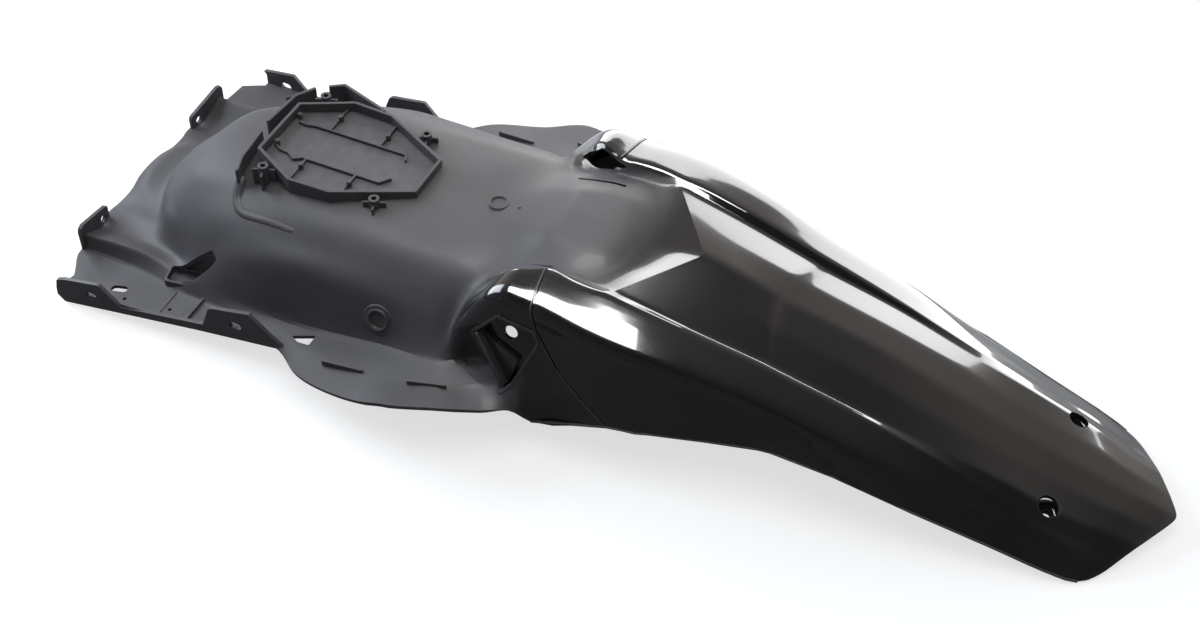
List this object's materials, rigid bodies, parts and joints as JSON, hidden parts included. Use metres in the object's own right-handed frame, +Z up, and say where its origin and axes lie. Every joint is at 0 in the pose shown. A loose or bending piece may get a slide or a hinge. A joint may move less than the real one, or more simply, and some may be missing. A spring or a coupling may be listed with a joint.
{
  "type": "motorcycle rear fender",
  "caption": "Moulded rear fender for an off-road motorcycle: arched saddle with a tray and bolt-on side tabs, shoulder pods with deep pockets, and a faceted tail tapering to a blunt tip.",
  "frame": {"origin": "middle of the bounding box at the floor the part lies on", "axes": "+X rearwards to the tip, +Y to the right side of the motorcycle, +Z up"},
  "size_m": [0.8232, 0.3234, 0.1214],
  "materials": {
    "moulding": "fine matte grain in front, glossy on the shoulders and the tail"
  },
  "bodies": {
    "root": {"rear_fender": "moulding"}
  },
  "joints": []
}
